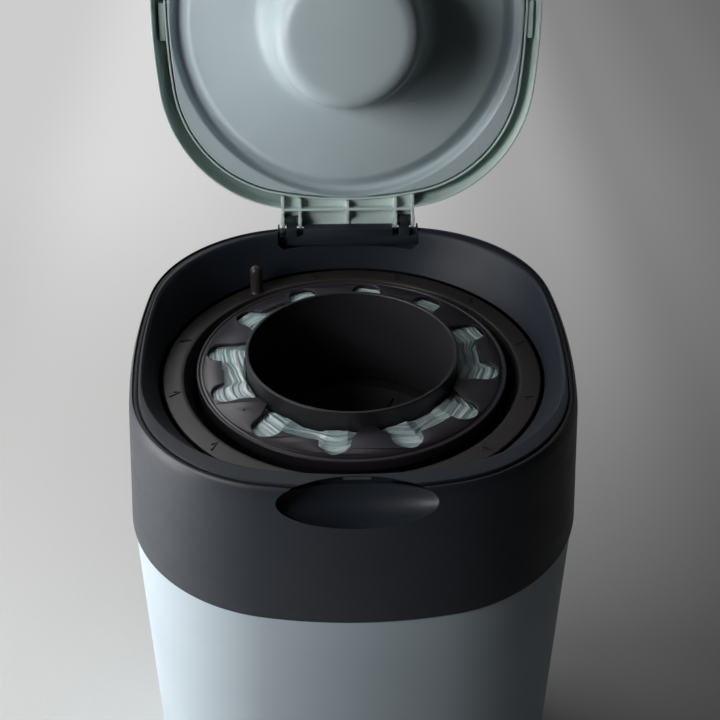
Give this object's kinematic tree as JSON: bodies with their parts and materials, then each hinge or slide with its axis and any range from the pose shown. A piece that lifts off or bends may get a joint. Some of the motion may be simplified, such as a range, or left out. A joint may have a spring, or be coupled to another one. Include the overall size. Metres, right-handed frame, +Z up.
{
  "type": "nappy bin",
  "caption": "Nappy disposal bin with a hinged domed lid, a turning film cassette in a round well and a tilting head on a tall tub.",
  "frame": {"origin": "on the surface the bin stands on, under the middle of the rim, at the middle rubber foot", "axes": "+Z up, +Y towards the hinges at the back, +X to the right seen from the front"},
  "size_m": [0.2522, 0.3491, 0.6208],
  "materials": {
    "tub_plastic": "satin moulded polypropylene, pale blue-grey",
    "head_plastic": "fine matte moulded polypropylene, navy charcoal",
    "well_plastic": "fine matte moulded polypropylene, dark blue-grey",
    "inner_plastic": "moulded polypropylene, near black",
    "deck_plastic": "smooth moulded plastic, warm brown black",
    "cassette_plastic": "smooth moulded polypropylene, purple-brown black",
    "film": "pleated thin polyethylene film, white to pale teal",
    "lid_plastic": "satin moulded polypropylene, sage green",
    "liner_plastic": "satin moulded polypropylene, grey green",
    "seal_rubber": "matte soft rubber, black",
    "foot_rubber": "matte rubber, dark grey",
    "gripper_rubber": "soft moulded elastomer, mid grey",
    "steel": "plain steel",
    "glide_plastic": "smooth acetal, white"
  },
  "bodies": {
    "tub_body": {"tub": "tub_plastic", "foot_pads": "foot_rubber", "tub_hinge": "tub_plastic", "rear_hinge_pin": "steel"},
    "head": {"head_shell": "head_plastic", "finger_scoop": "head_plastic", "well_liner": "well_plastic", "rim_seal": "seal_rubber", "head_base": "inner_plastic", "screw_posts": "head_plastic", "base_screws": "steel", "head_hinge": "head_plastic", "lid_hinge_block": "well_plastic", "lid_hinge_pin": "steel", "film_gripper": "gripper_rubber", "gripper_ring": "inner_plastic", "glide_pads": "glide_plastic", "cutter_guard": "inner_plastic", "cutter_blade": "steel", "left_button_spring": "steel", "right_button_spring": "steel"},
    "lid": {"lid_shell": "lid_plastic", "lid_liner": "liner_plastic", "lid_hinge_bracket": "lid_plastic", "liner_clips": "lid_plastic", "latch_hook": "lid_plastic"},
    "turntable": {"turntable": "deck_plastic", "grip_peg": "deck_plastic"},
    "cassette": {"cassette_tray": "cassette_plastic", "cassette_cover": "cassette_plastic", "core_tube": "cassette_plastic", "film_pack": "film"},
    "left_button": {"left_release_button": "head_plastic"},
    "right_button": {"right_release_button": "head_plastic"}
  },
  "joints": [
    {"name": "head_tilt", "type": "hinge", "parent": "tub_body", "child": "head", "pos_m": [0, 0.1404, 0.286], "axis": [-1, 0, 0], "range_deg": [0, 60]},
    {"name": "lid_hinge", "type": "hinge", "parent": "head", "child": "lid", "pos_m": [0, 0.1307, 0.3716], "axis": [-1, 0, 0], "range_deg": [-104.3, 0]},
    {"name": "turntable_spin", "type": "hinge", "parent": "head", "child": "turntable", "pos_m": [0, 0.0096, 0.3], "axis": [0, 0, 1], "continuous": true},
    {"name": "cassette_lift", "type": "slide", "parent": "turntable", "child": "cassette", "axis": [0, 0, 1], "range_m": [0, 0.075]},
    {"name": "left_button_press", "type": "slide", "parent": "head", "child": "left_button", "axis": [1, 0, 0], "range_m": [0, 0.0025], "stiffness_N_per_m": 800, "springref_m": -0.001, "deforming": ["left_button_spring"]},
    {"name": "right_button_press", "type": "slide", "parent": "head", "child": "right_button", "axis": [-1, 0, 0], "range_m": [0, 0.0025], "stiffness_N_per_m": 800, "springref_m": -0.001, "deforming": ["right_button_spring"]}
  ]
}
